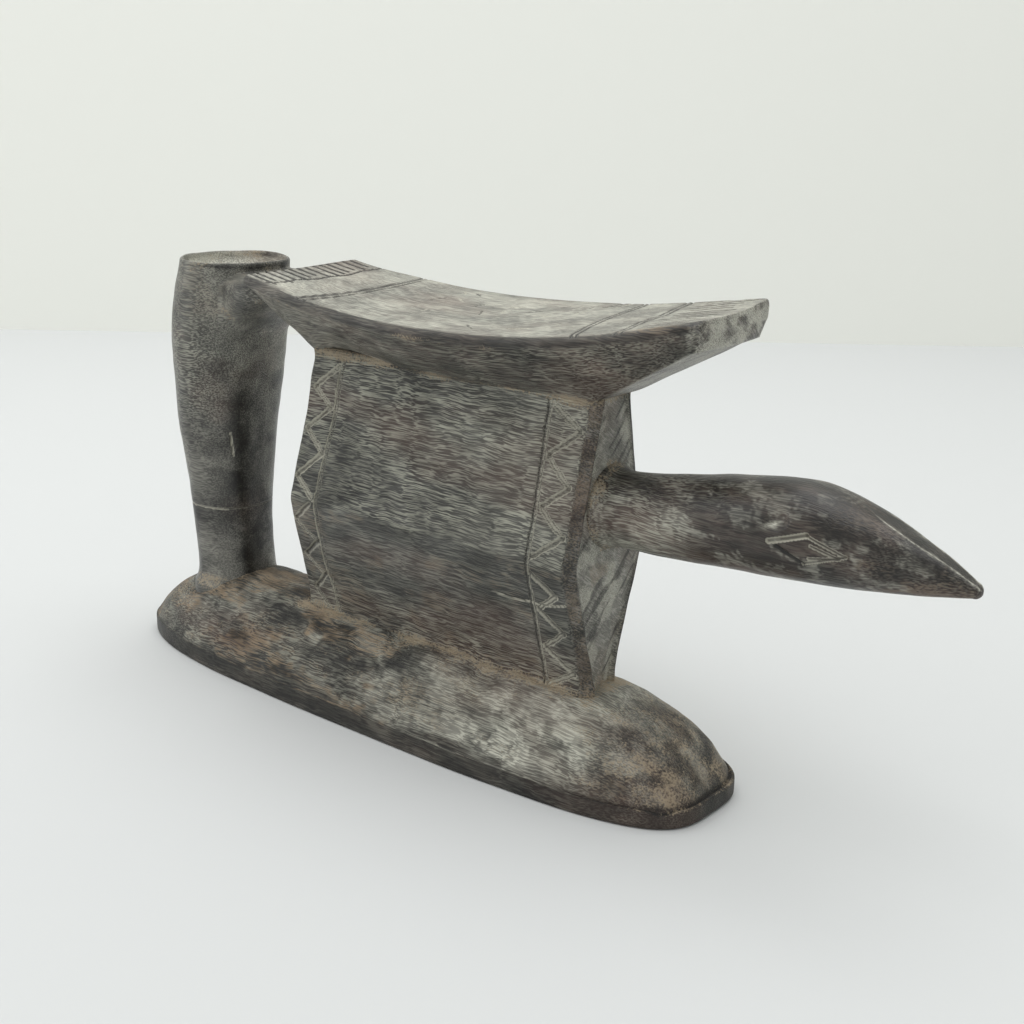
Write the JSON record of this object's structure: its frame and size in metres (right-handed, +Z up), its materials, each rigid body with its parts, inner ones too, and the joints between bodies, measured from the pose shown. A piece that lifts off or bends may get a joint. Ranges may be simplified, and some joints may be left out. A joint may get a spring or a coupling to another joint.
{
  "type": "headrest",
  "caption": "Carved wooden headrest: a curved pillow on a ridged block, an upright handle post, a long domed foot and a projecting bird's neck and head.",
  "frame": {"origin": "centre of the foot's flat underside", "axes": "+X along the length towards the beak, +Z up out of the underside, +Y to the far side as seen with the beak on the right"},
  "size_m": [0.3344, 0.0654, 0.1571],
  "materials": {
    "foot": "worn matte",
    "handle_post": "hand-polished satin",
    "block": "matte",
    "pillow": "worn satin",
    "neck_and_head": "hand-polished satin"
  },
  "bodies": {
    "root": {"foot": "foot", "handle_post": "handle_post", "block": "block", "pillow": "pillow", "neck_and_head": "neck_and_head"}
  },
  "joints": []
}
